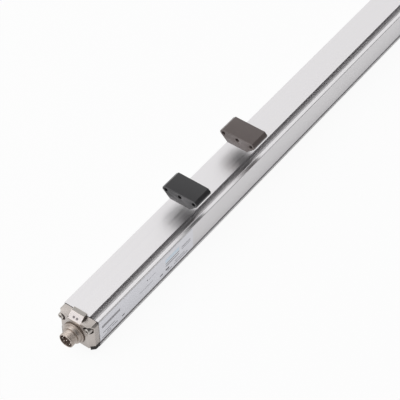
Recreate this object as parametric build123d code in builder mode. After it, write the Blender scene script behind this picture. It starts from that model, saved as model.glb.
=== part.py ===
from build123d import *
import os
from math import cos, pi, radians, sin, sqrt

# A magnetostrictive linear position sensor: an aluminium rail with a cast cap,
# a round plug inlet and two status lights at one end, and two block magnets
# that a machine carries along over the rail without touching it.
#
# Millimetres. X runs along the rail away from the inlet, Y across it, Z up.
# The origin is on the underside, at the rail's centre line, below the place
# where the measuring range begins.

os.makedirs("parts", exist_ok=True)

# Length of the rail: the measuring range with a dead zone at each end
measuring_length = 500.0
front_zone = 84.0
rear_zone = 66.0
rail_length = front_zone + measuring_length + rear_zone
rail_front = -front_zone
rail_rear = measuring_length + rear_zone

# Outside of the rail's section
rail_width = 41.3
rail_height = 36.8
rail_edge_radius = 0.8
flange_inset = 0.65
clamp_groove_low = 2.8
clamp_groove_height = 4.6
clamp_groove_depth = 3.4
top_groove_wall = 8.7
top_groove_width = 6.5
top_groove_depth = 4.8
top_groove_radius = 1.4

# Chamber inside the rail
wall = 2.85
floor_thickness = 2.6
lower_chamber_width = 28.0
boss_size = 9.8
groove_web = 2.7
chamber_radius = 0.7
chamber_half = rail_width / 2 - wall
shoulder_height = clamp_groove_low + clamp_groove_height + wall
ceiling_height = rail_height - wall
boss_underside = rail_height - boss_size
boss_inner = chamber_half - 5.3
web_underside = rail_height - top_groove_depth - groove_web
web_edge = top_groove_wall - groove_web

# End screws: cap heads in the two upper corners
screw_radius = 2.0
screw_length = 15.0
screw_head_radius = 3.5
screw_head_height = 4.0
screw_head_chamfer = 0.4
screw_socket_depth = 2.0
screw_socket_flats = 3.0
screw_inset = 4.9
screw_spread = rail_width / 2 - screw_inset
screw_drop = 5.8
screw_height = rail_height - screw_drop
channel_clearance = 0.05
screw_hole_clearance = 0.25

# End caps and their seals
seal_thickness = 0.4
cap_depth = 10.8
far_cap_depth = 6.0
cap_top = rail_height - 0.4
cap_bottom = 5.5
cap_shoulder = 2.2
cap_bevel = 4.8
screw_pocket_radius = 4.9
screw_pocket_depth = 4.4
screw_pocket_wall = 1.2
cap_hollow_inset = 3.75
cap_hollow_width = 2 * (screw_spread - cap_hollow_inset)
cap_hollow_low = 7.9
cap_hollow_drop = 3.6
cap_hollow_high = rail_height - cap_hollow_drop
cap_front_wall = 3.6
tongue_thickness = 1.65
tongue_length = 4.0
fit_clearance = 0.25
seal_inset = 0.6
foot_depth = 6.4
foot_inset = 1.1
foot_corner = 2.6
foot_lift = 0.3

# Hood with the status lights, on top of the inlet's cap
hood_width = 15.2
hood_rise = 3.9
hood_roof = 4.8
window_thickness = 1.0
window_rim = 0.35
light_radius = 1.2
light_spacing = 3.9
light_drop = 0.9
light_hole_clearance = 0.1
lamp_size = 2.6
lamp_thickness = 1.0
lamp_margin = 0.5
lamp_pocket_width = 12.0

# Round inlet, with its outer thread drawn as a plain cylinder
connector_height = rail_height / 2
thread_radius = 8.0
thread_length = 8.0
bore_radius = 7.0
mouth_chamfer = 0.5
collar_radius = 10.0
collar_length = 3.6
flange_radius = 11.6
flange_length = 1.2
ring_radius = 12.0
ring_thickness = 0.8
shank_radius = 7.0
shank_bore = 5.8
shank_hole_clearance = 0.2
insert_recess = 6.6
insert_overhang = 1.0
nut_flats = 17.0
nut_thickness = 2.4
pin_radius = 0.5
pin_circle = 4.9
pin_count = 7
pin_recess = 1.6
pin_step = 45.0
pin_clearance = 0.05

# Circuit boards and what stands on them
board_thickness = 1.6
connector_board_gap = 0.3
connector_board_corner = 1.0
pin_tail = 0.6
main_board_length = 73.0
main_board_start = 5.0
main_board_gap = 0.3
chip_height = 1.6
capacitor_radius = 3.0
capacitor_height = 9.0
capacitor_gap = 1.5
capacitor_edge = 3.5
plug_length = 6.0
plug_width = 12.0
plug_height = 3.0
plug_edge = 1.0
lead_width = 10.0
lead_thickness = 0.5
lead_rise = 4.0
lead_bend = 1.2
earth_strip = 0.3
earth_width = 4.0
earth_foot = 5.0
earth_bow = 1.2
earth_touch = 3.0
earth_height = 5.5
earth_bend = 0.8

# Signal pick-up and the sensing wire
waveguide_drop = 6.55
waveguide_height = ceiling_height - waveguide_drop
waveguide_radius = 0.4
guide_clearance = 0.05
tube_radius = 3.0
tube_bore = 2.3
tube_end = 20.0
ring_count = 5
centring_ring_length = 3.0
damper_length = 28.0
return_radius = 0.5
return_drop = 5.2
converter_length = 24.0
converter_width = 18.0
converter_wall = 2.0
converter_gap = 2.0
bobbin_length = 14.0
bobbin_flange_radius = 4.2
bobbin_flange = 1.2
bobbin_core = 1.6
coil_radius = 3.4
bias_length = 7.0
bias_width = 2.2
bias_height = 5.0
bias_gap = 0.3
support_count = 4
support_length = 6.0
support_bar = 3.0
support_cheek = 2.0
support_stem = 9.0
anchor_length = 12.0
bridge_thickness = 0.8
bridge_width = 2.6

# Block magnets, at rest where they are shown
magnet_gap = 13.9
magnet_width = 42.0
magnet_height = 14.4
magnet_length = 22.6
magnet_chamfer = 9.0
magnet_top_chamfer = 3.0
magnet_hole_radius = 2.15
magnet_hole_spacing = 16.8
magnet_hole_depth = 4.5
magnet_wall = 2.8
magnet_bar_width = 10.4
magnet_bar_gap = 0.4
magnet_bar_height = 4.6
magnet_cover_thickness = 1.2
front_magnet_place = 80.0
rear_magnet_place = 175.3

# How far a cut runs past the surface that it opens
cut_margin = 1.0

# Places that follow from the sizes above
cap_back = rail_front - seal_thickness
cap_front = cap_back - cap_depth
hollow_front = cap_front + cap_front_wall
hood_top = rail_height + hood_rise
slope_top = cap_back - hood_roof
slope_run = slope_top - cap_front
slope_foot = hood_top - slope_run
slope_length = slope_run * sqrt(2)
flange_face = cap_front - ring_thickness
collar_face = flange_face - flange_length - collar_length
mouth = collar_face - thread_length
insert_face = mouth + insert_recess
insert_rear = hollow_front + nut_thickness + insert_overhang
connector_board_face = insert_rear
connector_board_rear = connector_board_face + board_thickness
main_board_front = rail_front + main_board_start
main_board_rear = main_board_front + main_board_length
main_board_top = shoulder_height + board_thickness
converter_rear = main_board_rear - converter_gap
converter_front = converter_rear - converter_length
converter_floor = main_board_top + converter_wall
tube_front = converter_rear - converter_wall
tube_rear = measuring_length + tube_end
anchor_front = tube_rear + damper_length
anchor_rear = anchor_front + anchor_length
return_height = waveguide_height - return_drop
screw_seat = cap_front + screw_pocket_depth
hollow_step = screw_seat + screw_pocket_wall
screw_places = [(-screw_spread, screw_height), (screw_spread, screw_height)]

slope_plane = Plane(
    ((slope_top + cap_front) / 2, 0, (hood_top + slope_foot) / 2),
    x_dir=(0, -1, 0),
    z_dir=(-1, 0, 1),
)
light_start = slope_plane.from_local_coords((0, -light_drop, 0))
lamp_face = connector_board_face - lamp_thickness
lamp_height = light_start.Z - (lamp_face - light_start.X)
lamp_top = lamp_height + lamp_size / 2 + lamp_margin
light_length = (lamp_face - fit_clearance - light_start.X) * sqrt(2) - light_radius
connector_axis = Axis((0, 0, connector_height), (1, 0, 0))
connector_plane = Plane((0, 0, connector_height), x_dir=(1, 0, 0), z_dir=(0, -1, 0))
waveguide_plane = Plane((0, 0, waveguide_height), x_dir=(1, 0, 0), z_dir=(0, -1, 0))
waveguide_axis = Axis((0, 0, waveguide_height), (1, 0, 0))


def save(piece, name):
    """Label a finished piece and write it as its own file."""
    piece.part.label = name
    export_step(piece.part, f"parts/{name}.step")


def corners_at(sketch, height):
    """The corners of a sketch that lie at one height."""
    return sketch.vertices().filter_by(lambda corner: abs(corner.Y - height) < 0.01)


# The rail: an extruded section, hollow, with a groove along the top and one
# for clamps along each side, and two round channels for the end screws.
with BuildPart() as profile_housing:
    with BuildSketch(Plane.YZ.offset(rail_front)) as rail_section:
        Rectangle(rail_width, rail_height, align=(Align.CENTER, Align.MIN))
        for side in (-1, 1):
            with Locations((side * rail_width / 2, clamp_groove_low + clamp_groove_height / 2)):
                Rectangle(2 * clamp_groove_depth, clamp_groove_height, mode=Mode.SUBTRACT)
            with Locations((side * rail_width / 2, clamp_groove_low / 2)):
                Rectangle(2 * flange_inset, clamp_groove_low, mode=Mode.SUBTRACT)
        with Locations((-top_groove_wall - top_groove_width / 2, rail_height)):
            Rectangle(top_groove_width, 2 * top_groove_depth, mode=Mode.SUBTRACT)
        top_corners = rail_section.vertices().group_by(Axis.Y)[-1].sort_by(Axis.X)
        foot_corners = rail_section.vertices().group_by(Axis.Y)[0]
        fillet([top_corners[0], top_corners[-1]] + foot_corners, rail_edge_radius)
        fillet(corners_at(rail_section, rail_height - top_groove_depth), top_groove_radius)
    extrude(amount=rail_length)
    with BuildSketch(Plane.YZ.offset(rail_front)) as chamber:
        Polygon(
            (-lower_chamber_width / 2, floor_thickness),
            (lower_chamber_width / 2, floor_thickness),
            (lower_chamber_width / 2, shoulder_height),
            (chamber_half, shoulder_height),
            (chamber_half, boss_underside),
            (boss_inner, boss_underside),
            (boss_inner, ceiling_height),
            (-web_edge, ceiling_height),
            (-web_edge, web_underside),
            (-boss_inner, web_underside),
            (-boss_inner, boss_underside),
            (-chamber_half, boss_underside),
            (-chamber_half, shoulder_height),
            (-lower_chamber_width / 2, shoulder_height),
            align=None,
        )
        fillet(chamber.vertices() - corners_at(chamber, shoulder_height), chamber_radius)
        with Locations(*screw_places):
            Circle(screw_radius + channel_clearance)
    extrude(amount=rail_length, mode=Mode.SUBTRACT)
save(profile_housing, "profile_housing")


def cap_blank(depth):
    """Solid end cap whose back lies on the plane X = 0, with its face to -X:
    sloping shoulders, bevelled front corners, screw pockets and two tongues."""
    with BuildPart() as blank:
        with BuildSketch(Plane.XY.offset(cap_bottom)) as plan:
            with Locations((-depth / 2, 0)):
                Rectangle(depth, rail_width)
            chamfer(plan.vertices().group_by(Axis.X)[0], cap_bevel)
        extrude(amount=cap_top - cap_bottom)
        with BuildSketch(Plane.YZ.offset(-depth)) as outline:
            with Locations((0, cap_bottom)):
                Rectangle(rail_width, cap_top - cap_bottom, align=(Align.CENTER, Align.MIN))
            chamfer(outline.vertices().group_by(Axis.Y)[-1], cap_shoulder)
        extrude(amount=depth, mode=Mode.INTERSECT)
        with BuildSketch(Plane.YZ.offset(-depth)):
            with Locations(*screw_places):
                Circle(screw_pocket_radius)
        extrude(amount=screw_pocket_depth, mode=Mode.SUBTRACT)
        with BuildSketch(Plane.YZ.offset(-depth)):
            with Locations(*screw_places):
                Circle(screw_radius + screw_hole_clearance)
        extrude(amount=depth, mode=Mode.SUBTRACT)
        tongue_low = shoulder_height + fit_clearance
        tongue_high = boss_underside - fit_clearance
        tongue_middle = chamber_half - fit_clearance - tongue_thickness / 2
        with BuildSketch(Plane.YZ):
            with Locations((-tongue_middle, tongue_low), (tongue_middle, tongue_low)):
                Rectangle(tongue_thickness, tongue_high - tongue_low, align=(Align.CENTER, Align.MIN))
        extrude(amount=seal_thickness + tongue_length)
    return blank.part


def seal_blank():
    """Moulded seal whose sheet lies from X = 0 to its thickness, with the foot
    that fills the space under the cap."""
    with BuildPart() as blank:
        with BuildSketch(Plane.YZ) as sheet:
            with Locations((0, foot_lift)):
                Rectangle(
                    rail_width - 2 * seal_inset,
                    cap_top - seal_inset - foot_lift,
                    align=(Align.CENTER, Align.MIN),
                )
            chamfer(sheet.vertices().group_by(Axis.Y)[-1], cap_shoulder)
            with Locations((0, (shoulder_height + boss_underside) / 2)):
                Rectangle(2 * chamber_half, boss_underside - shoulder_height, mode=Mode.SUBTRACT)
            with Locations((0, (cap_hollow_low + cap_hollow_high) / 2)):
                Rectangle(cap_hollow_width, cap_hollow_high - cap_hollow_low, mode=Mode.SUBTRACT)
            with Locations(*screw_places):
                Circle(screw_radius + screw_hole_clearance, mode=Mode.SUBTRACT)
        extrude(amount=seal_thickness)
        with BuildSketch(Plane.XY.offset(foot_lift)) as foot:
            Rectangle(
                2 * foot_depth, rail_width - 2 * foot_inset, align=(Align.CENTER, Align.CENTER)
            )
            chamfer(foot.vertices().group_by(Axis.X)[0], foot_corner)
        extrude(amount=cap_bottom - foot_lift)
        split(bisect_by=Plane.YZ.offset(seal_thickness), keep=Keep.BOTTOM)
    return blank.part


def end_screw(seat, toward):
    """Two cap screws with hexagon sockets, heads on the plane X = seat,
    shanks pointing the way of toward (+1 or -1)."""
    head_end = seat - toward * screw_head_height
    with BuildPart() as screws:
        with BuildSketch(Plane.YZ.offset(seat)):
            with Locations(*screw_places):
                Circle(screw_radius)
        extrude(amount=toward * screw_length)
        with BuildSketch(Plane.YZ.offset(head_end)):
            with Locations(*screw_places):
                Circle(screw_head_radius)
        extrude(amount=toward * screw_head_height)
        rims = screws.edges().filter_by(GeomType.CIRCLE)
        rims = rims.filter_by(lambda rim: abs(rim.arc_center.X - head_end) < 0.01)
        chamfer(rims, screw_head_chamfer)
        with BuildSketch(Plane.YZ.offset(head_end)):
            with Locations(*screw_places):
                RegularPolygon(screw_socket_flats / 2, 6, major_radius=False)
        extrude(amount=toward * screw_socket_depth, mode=Mode.SUBTRACT)
    return screws


# The inlet's cap: the blank with a hood on top, a sloping face for the lights,
# a hollow behind the front wall, narrower beside the screw pockets, and the
# hole for the inlet.
with BuildPart() as connector_cap:
    add(cap_blank(cap_depth).moved(Location((cap_back, 0, 0))))
    with BuildSketch(Plane.XZ):
        Polygon(
            (cap_back, cap_top - hood_rise),
            (cap_back, hood_top),
            (slope_top, hood_top),
            (cap_front, slope_foot),
            (cap_front, slope_foot - hood_rise),
            align=None,
        )
    extrude(amount=hood_width / 2, both=True)
    with BuildSketch(Plane.XZ):
        Polygon(
            (slope_top, hood_top),
            (cap_front - cut_margin, slope_foot - cut_margin),
            (cap_front - cut_margin, hood_top),
            align=None,
        )
    extrude(amount=hood_width / 2, both=True, mode=Mode.SUBTRACT)
    with BuildSketch(Plane.YZ.offset(hollow_front)):
        with Locations((0, (cap_hollow_low + cap_hollow_high) / 2)):
            Rectangle(cap_hollow_width, cap_hollow_high - cap_hollow_low)
        with Locations(*screw_places):
            Circle(screw_pocket_radius + screw_pocket_wall, mode=Mode.SUBTRACT)
        with Locations((0, lamp_top)):
            Rectangle(lamp_pocket_width, lamp_size, align=(Align.CENTER, Align.MAX))
    extrude(amount=cap_back - hollow_front, mode=Mode.SUBTRACT)
    with BuildSketch(Plane.YZ.offset(hollow_step)):
        with Locations((0, (cap_hollow_low + cap_hollow_high) / 2)):
            Rectangle(cap_hollow_width, cap_hollow_high - cap_hollow_low)
    extrude(amount=cap_back - hollow_step, mode=Mode.SUBTRACT)
    with BuildSketch(Plane.YZ.offset(cap_front)):
        with Locations((0, connector_height)):
            Circle(shank_radius + shank_hole_clearance)
    extrude(amount=cap_front_wall, mode=Mode.SUBTRACT)
    with BuildSketch(slope_plane):
        Rectangle(hood_width - 2 * window_rim, slope_length - 2 * window_rim)
    extrude(amount=-window_thickness, mode=Mode.SUBTRACT)
    with BuildSketch(slope_plane):
        with Locations((0, -light_drop)):
            with GridLocations(light_spacing, 1, 2, 1):
                Circle(light_radius + light_hole_clearance)
    extrude(amount=-light_length - light_radius, mode=Mode.SUBTRACT)
save(connector_cap, "connector_cap")

with BuildPart() as connector_cap_seal:
    add(seal_blank().moved(Location((cap_back, 0, 0))))
save(connector_cap_seal, "connector_cap_seal")

save(end_screw(screw_seat, 1), "connector_cap_screws")

# The light window, a plate let into the sloping face, and the two light guides
# that lead from the lamps inside to the plate's face.
with BuildPart() as led_window:
    with BuildSketch(slope_plane):
        Rectangle(hood_width - 2 * window_rim, slope_length - 2 * window_rim)
        with Locations((0, -light_drop)):
            with GridLocations(light_spacing, 1, 2, 1):
                Circle(light_radius + light_hole_clearance, mode=Mode.SUBTRACT)
    extrude(amount=-window_thickness)
save(led_window, "led_window")

with BuildPart() as light_guides:
    with BuildSketch(slope_plane):
        with Locations((0, -light_drop)):
            with GridLocations(light_spacing, 1, 2, 1):
                Circle(light_radius)
    extrude(amount=-light_length)
save(light_guides, "light_guides")

# The round inlet: sealing ring, turned shell, nut behind the wall, insulating
# insert and its pins.
with BuildPart() as connector_ring:
    with BuildSketch(Plane.YZ.offset(flange_face)):
        with Locations((0, connector_height)):
            Circle(ring_radius)
            Circle(shank_radius + shank_hole_clearance, mode=Mode.SUBTRACT)
    extrude(amount=ring_thickness)
save(connector_ring, "connector_ring")

with BuildPart() as connector_shell:
    with BuildSketch(connector_plane):
        Polygon(
            (mouth, bore_radius),
            (mouth, thread_radius - mouth_chamfer),
            (mouth + mouth_chamfer, thread_radius),
            (collar_face, thread_radius),
            (collar_face, collar_radius - mouth_chamfer),
            (collar_face + mouth_chamfer, collar_radius),
            (collar_face + collar_length, collar_radius),
            (flange_face - flange_length, flange_radius),
            (flange_face, flange_radius),
            (flange_face, shank_radius),
            (insert_rear, shank_radius),
            (insert_rear, shank_bore),
            (cap_front, shank_bore),
            (cap_front, bore_radius),
            align=None,
        )
    revolve(axis=connector_axis)
save(connector_shell, "connector_shell")

with BuildPart() as connector_lock_nut:
    with BuildSketch(Plane.YZ.offset(hollow_front)):
        with Locations((0, connector_height)):
            RegularPolygon(nut_flats / 2, 6, major_radius=False)
            Circle(shank_radius + channel_clearance, mode=Mode.SUBTRACT)
    extrude(amount=nut_thickness)
save(connector_lock_nut, "connector_lock_nut")

pin_angles = [pi / 2 + radians(pin_step) * (index - (pin_count - 1) / 2) for index in range(pin_count)]
pin_places = [(0, connector_height)] + [
    (pin_circle * cos(angle), connector_height + pin_circle * sin(angle)) for angle in pin_angles
]
with BuildPart() as connector_insert:
    with BuildSketch(connector_plane):
        Polygon(
            (insert_face, 0),
            (insert_face, bore_radius - pin_clearance),
            (cap_front - pin_clearance, bore_radius - pin_clearance),
            (cap_front - pin_clearance, shank_bore - pin_clearance),
            (insert_rear, shank_bore - pin_clearance),
            (insert_rear, 0),
            align=None,
        )
    revolve(axis=connector_axis)
    with BuildSketch(Plane.YZ.offset(insert_face)):
        with Locations(*pin_places):
            Circle(pin_radius + pin_clearance)
    extrude(amount=insert_rear - insert_face, mode=Mode.SUBTRACT)
save(connector_insert, "connector_insert")

with BuildPart() as connector_pins:
    with BuildSketch(Plane.YZ.offset(mouth + pin_recess)):
        with Locations(*pin_places):
            Circle(pin_radius)
    extrude(amount=connector_board_rear + pin_tail - mouth - pin_recess)
save(connector_pins, "connector_pins")

# The small upright board behind the inlet, with its two lamps
with BuildPart() as connector_board:
    with BuildSketch(Plane.YZ.offset(connector_board_face)):
        with Locations((0, (cap_hollow_low + cap_hollow_high) / 2)):
            RectangleRounded(
                cap_hollow_width - 2 * connector_board_gap,
                cap_hollow_high - cap_hollow_low - 2 * connector_board_gap,
                connector_board_corner,
            )
        with Locations((0, lamp_top - lamp_margin / 2)):
            Rectangle(
                lamp_pocket_width - 2 * fit_clearance, 2 * lamp_size, align=(Align.CENTER, Align.MAX)
            )
        with Locations(*pin_places):
            Circle(pin_radius + pin_clearance, mode=Mode.SUBTRACT)
    extrude(amount=board_thickness)
save(connector_board, "connector_board")

with BuildPart() as board_lamps:
    with BuildSketch(Plane.YZ.offset(lamp_face)):
        with Locations((0, lamp_height)):
            with GridLocations(light_spacing, 1, 2, 1):
                Rectangle(lamp_size, lamp_size)
    extrude(amount=lamp_thickness)
save(board_lamps, "board_lamps")

# The main board lies on the rail's two shoulders.
main_board_width = 2 * (chamber_half - main_board_gap)
with BuildPart() as main_circuit_board:
    with BuildSketch(Plane.XY.offset(shoulder_height)):
        with Locations(((main_board_front + main_board_rear) / 2, 0)):
            Rectangle(main_board_length, main_board_width)
    extrude(amount=board_thickness)
save(main_circuit_board, "main_circuit_board")

# Each chip: its place along and across the board in parts of the board's size,
# then its own length and width
chips = [(0.40, -0.11, 12.0, 12.0), (0.22, 0.23, 6.0, 8.0), (0.22, -0.23, 5.0, 6.0)]
with BuildPart() as circuit_chips:
    with BuildSketch(Plane.XY.offset(main_board_top)):
        for along, across, chip_length, chip_width in chips:
            chip_x = main_board_front + along * main_board_length
            with Locations((chip_x, across * main_board_width)):
                Rectangle(chip_length, chip_width)
    extrude(amount=chip_height)
save(circuit_chips, "circuit_chips")

capacitor_x = main_board_front + 0.40 * main_board_length
capacitor_y = main_board_width / 2 - capacitor_edge - capacitor_radius
with BuildPart() as filter_capacitors:
    with BuildSketch(Plane.XY.offset(main_board_top)):
        with Locations((capacitor_x, capacitor_y)):
            with GridLocations(2 * capacitor_radius + capacitor_gap, 1, 2, 1):
                Circle(capacitor_radius)
    extrude(amount=capacitor_height)
save(filter_capacitors, "filter_capacitors")

with BuildPart() as board_plug:
    with BuildSketch(Plane.XY.offset(main_board_top)):
        with Locations((main_board_front + plug_edge + plug_length / 2, 0)):
            Rectangle(plug_length, plug_width)
    extrude(amount=plug_height)
save(board_plug, "board_plug")

# The flat lead between the two boards, in a gentle step
lead_end = main_board_top + plug_height / 2
lead_stop = main_board_front + plug_edge
lead_reach = lead_stop - connector_board_rear
with BuildPart() as flat_lead:
    with BuildSketch(Plane.XZ):
        with BuildLine():
            FilletPolyline(
                (connector_board_rear, lead_end + lead_rise),
                (connector_board_rear + 0.35 * lead_reach, lead_end + lead_rise),
                (connector_board_rear + 0.65 * lead_reach, lead_end),
                (lead_stop, lead_end),
                radius=lead_bend,
            )
        trace(line_width=lead_thickness)
    extrude(amount=lead_width / 2, both=True)
save(flat_lead, "flat_lead")

# A bent strip that earths the board against the rail's side wall
with BuildPart() as earth_spring:
    with BuildSketch(Plane.YZ.offset(main_board_front + 0.6 * main_board_length)):
        with BuildLine():
            FilletPolyline(
                (chamber_half - earth_foot, main_board_top + earth_strip / 2),
                (chamber_half - earth_bow, main_board_top + earth_strip / 2),
                (chamber_half - earth_strip / 2 - guide_clearance, main_board_top + earth_touch),
                (chamber_half - earth_bow, main_board_top + earth_height),
                radius=earth_bend,
            )
        trace(line_width=earth_strip)
    extrude(amount=earth_width)
save(earth_spring, "earth_spring")

# The signal pick-up: a tray on the main board, a bobbin with its coil round
# the sensing wire, and a small magnet beside it.
converter_middle = (converter_front + converter_rear) / 2
bias_seat = waveguide_height - bias_height / 2
bias_middle = bobbin_flange_radius + bias_width / 2 + bias_gap
with BuildPart() as converter_housing:
    with BuildSketch(Plane.XY.offset(main_board_top)):
        with Locations((converter_middle, 0)):
            Rectangle(converter_length, converter_width)
    extrude(amount=ceiling_height - main_board_top - fit_clearance)
    with BuildSketch(Plane.XY.offset(converter_floor)):
        with Locations((converter_middle, 0)):
            Rectangle(
                converter_length - 2 * converter_wall, converter_width - 2 * converter_wall
            )
    extrude(amount=rail_height, mode=Mode.SUBTRACT)
    with BuildSketch(Plane.YZ.offset(converter_front)):
        with Locations((-converter_width / 2, rail_height)):
            Rectangle(
                2 * (converter_width / 2 - web_edge + fit_clearance),
                2 * (rail_height - web_underside + fit_clearance),
                mode=Mode.ADD,
            )
    extrude(amount=converter_length, mode=Mode.SUBTRACT)
    with BuildSketch(Plane.XY.offset(converter_floor)):
        with Locations((converter_middle, bias_middle)):
            Rectangle(bias_length, bias_width)
    extrude(amount=bias_seat - converter_floor)
    with BuildSketch(Plane.YZ.offset(converter_front)):
        with Locations((0, waveguide_height)):
            Circle(waveguide_radius + guide_clearance)
    extrude(amount=converter_wall, mode=Mode.SUBTRACT)
    with BuildSketch(Plane.YZ.offset(tube_front)):
        with Locations((0, waveguide_height)):
            Circle(tube_radius + guide_clearance)
        with Locations((0, return_height)):
            Circle(return_radius + guide_clearance)
    extrude(amount=converter_wall, mode=Mode.SUBTRACT)
save(converter_housing, "converter_housing")

bobbin_front = converter_middle - bobbin_length / 2
bobbin_rear = converter_middle + bobbin_length / 2
bobbin_bore = waveguide_radius + guide_clearance
with BuildPart() as coil_bobbin:
    with BuildSketch(waveguide_plane):
        Polygon(
            (bobbin_front, bobbin_bore),
            (bobbin_front, bobbin_flange_radius),
            (bobbin_front + bobbin_flange, bobbin_flange_radius),
            (bobbin_front + bobbin_flange, bobbin_core),
            (bobbin_rear - bobbin_flange, bobbin_core),
            (bobbin_rear - bobbin_flange, bobbin_flange_radius),
            (bobbin_rear, bobbin_flange_radius),
            (bobbin_rear, bobbin_bore),
            align=None,
        )
    revolve(axis=waveguide_axis)
save(coil_bobbin, "coil_bobbin")

with BuildPart() as pickup_coil:
    with BuildSketch(Plane.YZ.offset(bobbin_front + bobbin_flange)):
        with Locations((0, waveguide_height)):
            Circle(coil_radius)
            Circle(bobbin_core, mode=Mode.SUBTRACT)
    extrude(amount=bobbin_length - 2 * bobbin_flange)
save(pickup_coil, "pickup_coil")

with BuildPart() as bias_magnet:
    with BuildSketch(Plane.XY.offset(bias_seat)):
        with Locations((converter_middle, bias_middle)):
            Rectangle(bias_length, bias_width)
    extrude(amount=bias_height)
save(bias_magnet, "bias_magnet")

# The sensing wire in its tube, held in the middle by soft rings, with the
# return wire below it.
with BuildPart() as waveguide_wire:
    with BuildSketch(Plane.YZ.offset(converter_front)):
        with Locations((0, waveguide_height)):
            Circle(waveguide_radius)
    extrude(amount=anchor_rear - converter_front)
save(waveguide_wire, "waveguide_wire")

with BuildPart() as waveguide_tube:
    with BuildSketch(Plane.YZ.offset(tube_front)):
        with Locations((0, waveguide_height)):
            Circle(tube_radius)
            Circle(tube_bore, mode=Mode.SUBTRACT)
    extrude(amount=tube_rear - tube_front)
save(waveguide_tube, "waveguide_tube")

ring_pitch = (tube_rear - tube_front - centring_ring_length) / (ring_count - 1)
with BuildPart() as centring_rings:
    for index in range(ring_count):
        with BuildSketch(Plane.YZ.offset(tube_front + index * ring_pitch)):
            with Locations((0, waveguide_height)):
                Circle(tube_bore - guide_clearance)
                Circle(waveguide_radius + guide_clearance, mode=Mode.SUBTRACT)
        extrude(amount=centring_ring_length)
save(centring_rings, "centring_rings")

with BuildPart() as return_wire:
    with BuildSketch(Plane.YZ.offset(tube_front)):
        with Locations((0, return_height)):
            Circle(return_radius)
    extrude(amount=anchor_rear - tube_front)
save(return_wire, "return_wire")

support_half = chamber_half - fit_clearance
support_pitch = measuring_length / support_count
with BuildPart() as tube_supports:
    for index in range(support_count):
        with BuildSketch(Plane.YZ.offset((index + 0.5) * support_pitch)) as frame_outline:
            with Locations((0, shoulder_height)):
                Rectangle(2 * support_half, support_bar, align=(Align.CENTER, Align.MIN))
                Rectangle(
                    support_stem,
                    ceiling_height - fit_clearance - shoulder_height,
                    align=(Align.CENTER, Align.MIN),
                )
            for side in (-1, 1):
                with Locations((side * (support_half - support_cheek / 2), shoulder_height)):
                    Rectangle(
                        support_cheek,
                        boss_underside - fit_clearance - shoulder_height,
                        align=(Align.CENTER, Align.MIN),
                    )
            with Locations((0, waveguide_height)):
                Circle(tube_radius + guide_clearance, mode=Mode.SUBTRACT)
            with Locations((0, return_height)):
                Circle(return_radius + guide_clearance, mode=Mode.SUBTRACT)
        extrude(amount=support_length)
save(tube_supports, "tube_supports")

# Far end of the sensing wire: a soft damper, then the block that anchors both
# wires, joined behind it by a bridge.
with BuildPart() as damping_sleeve:
    with BuildSketch(Plane.YZ.offset(tube_rear)):
        with Locations((0, waveguide_height)):
            Circle(tube_radius)
            Circle(waveguide_radius + guide_clearance, mode=Mode.SUBTRACT)
    extrude(amount=damper_length)
save(damping_sleeve, "damping_sleeve")

with BuildPart() as wire_anchor:
    with BuildSketch(Plane.YZ.offset(anchor_front)) as anchor_outline:
        with Locations((0, shoulder_height)):
            Rectangle(
                2 * support_half,
                boss_underside - fit_clearance - shoulder_height,
                align=(Align.CENTER, Align.MIN),
            )
            Rectangle(
                support_stem,
                ceiling_height - fit_clearance - shoulder_height,
                align=(Align.CENTER, Align.MIN),
            )
        with Locations((0, waveguide_height)):
            Circle(waveguide_radius + guide_clearance, mode=Mode.SUBTRACT)
        with Locations((0, return_height)):
            Circle(return_radius + guide_clearance, mode=Mode.SUBTRACT)
    extrude(amount=anchor_length)
save(wire_anchor, "wire_anchor")

with BuildPart() as wire_bridge:
    with BuildSketch(Plane.YZ.offset(anchor_rear)):
        with Locations((0, (waveguide_height + return_height) / 2)):
            SlotCenterToCenter(return_drop, bridge_width, rotation=90)
    extrude(amount=bridge_thickness)
save(wire_bridge, "wire_bridge")

# The plain cap that closes the far end, turned to face the other way
turned = Location((rail_rear + seal_thickness, 0, 0), (0, 0, 180))
with BuildPart() as far_cap:
    add(cap_blank(far_cap_depth).moved(turned))
save(far_cap, "far_cap")

with BuildPart() as far_cap_seal:
    add(seal_blank().moved(turned))
save(far_cap_seal, "far_cap_seal")

far_seat = rail_rear + seal_thickness + far_cap_depth - screw_pocket_depth
save(end_screw(far_seat, -1), "far_cap_screws")


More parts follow.
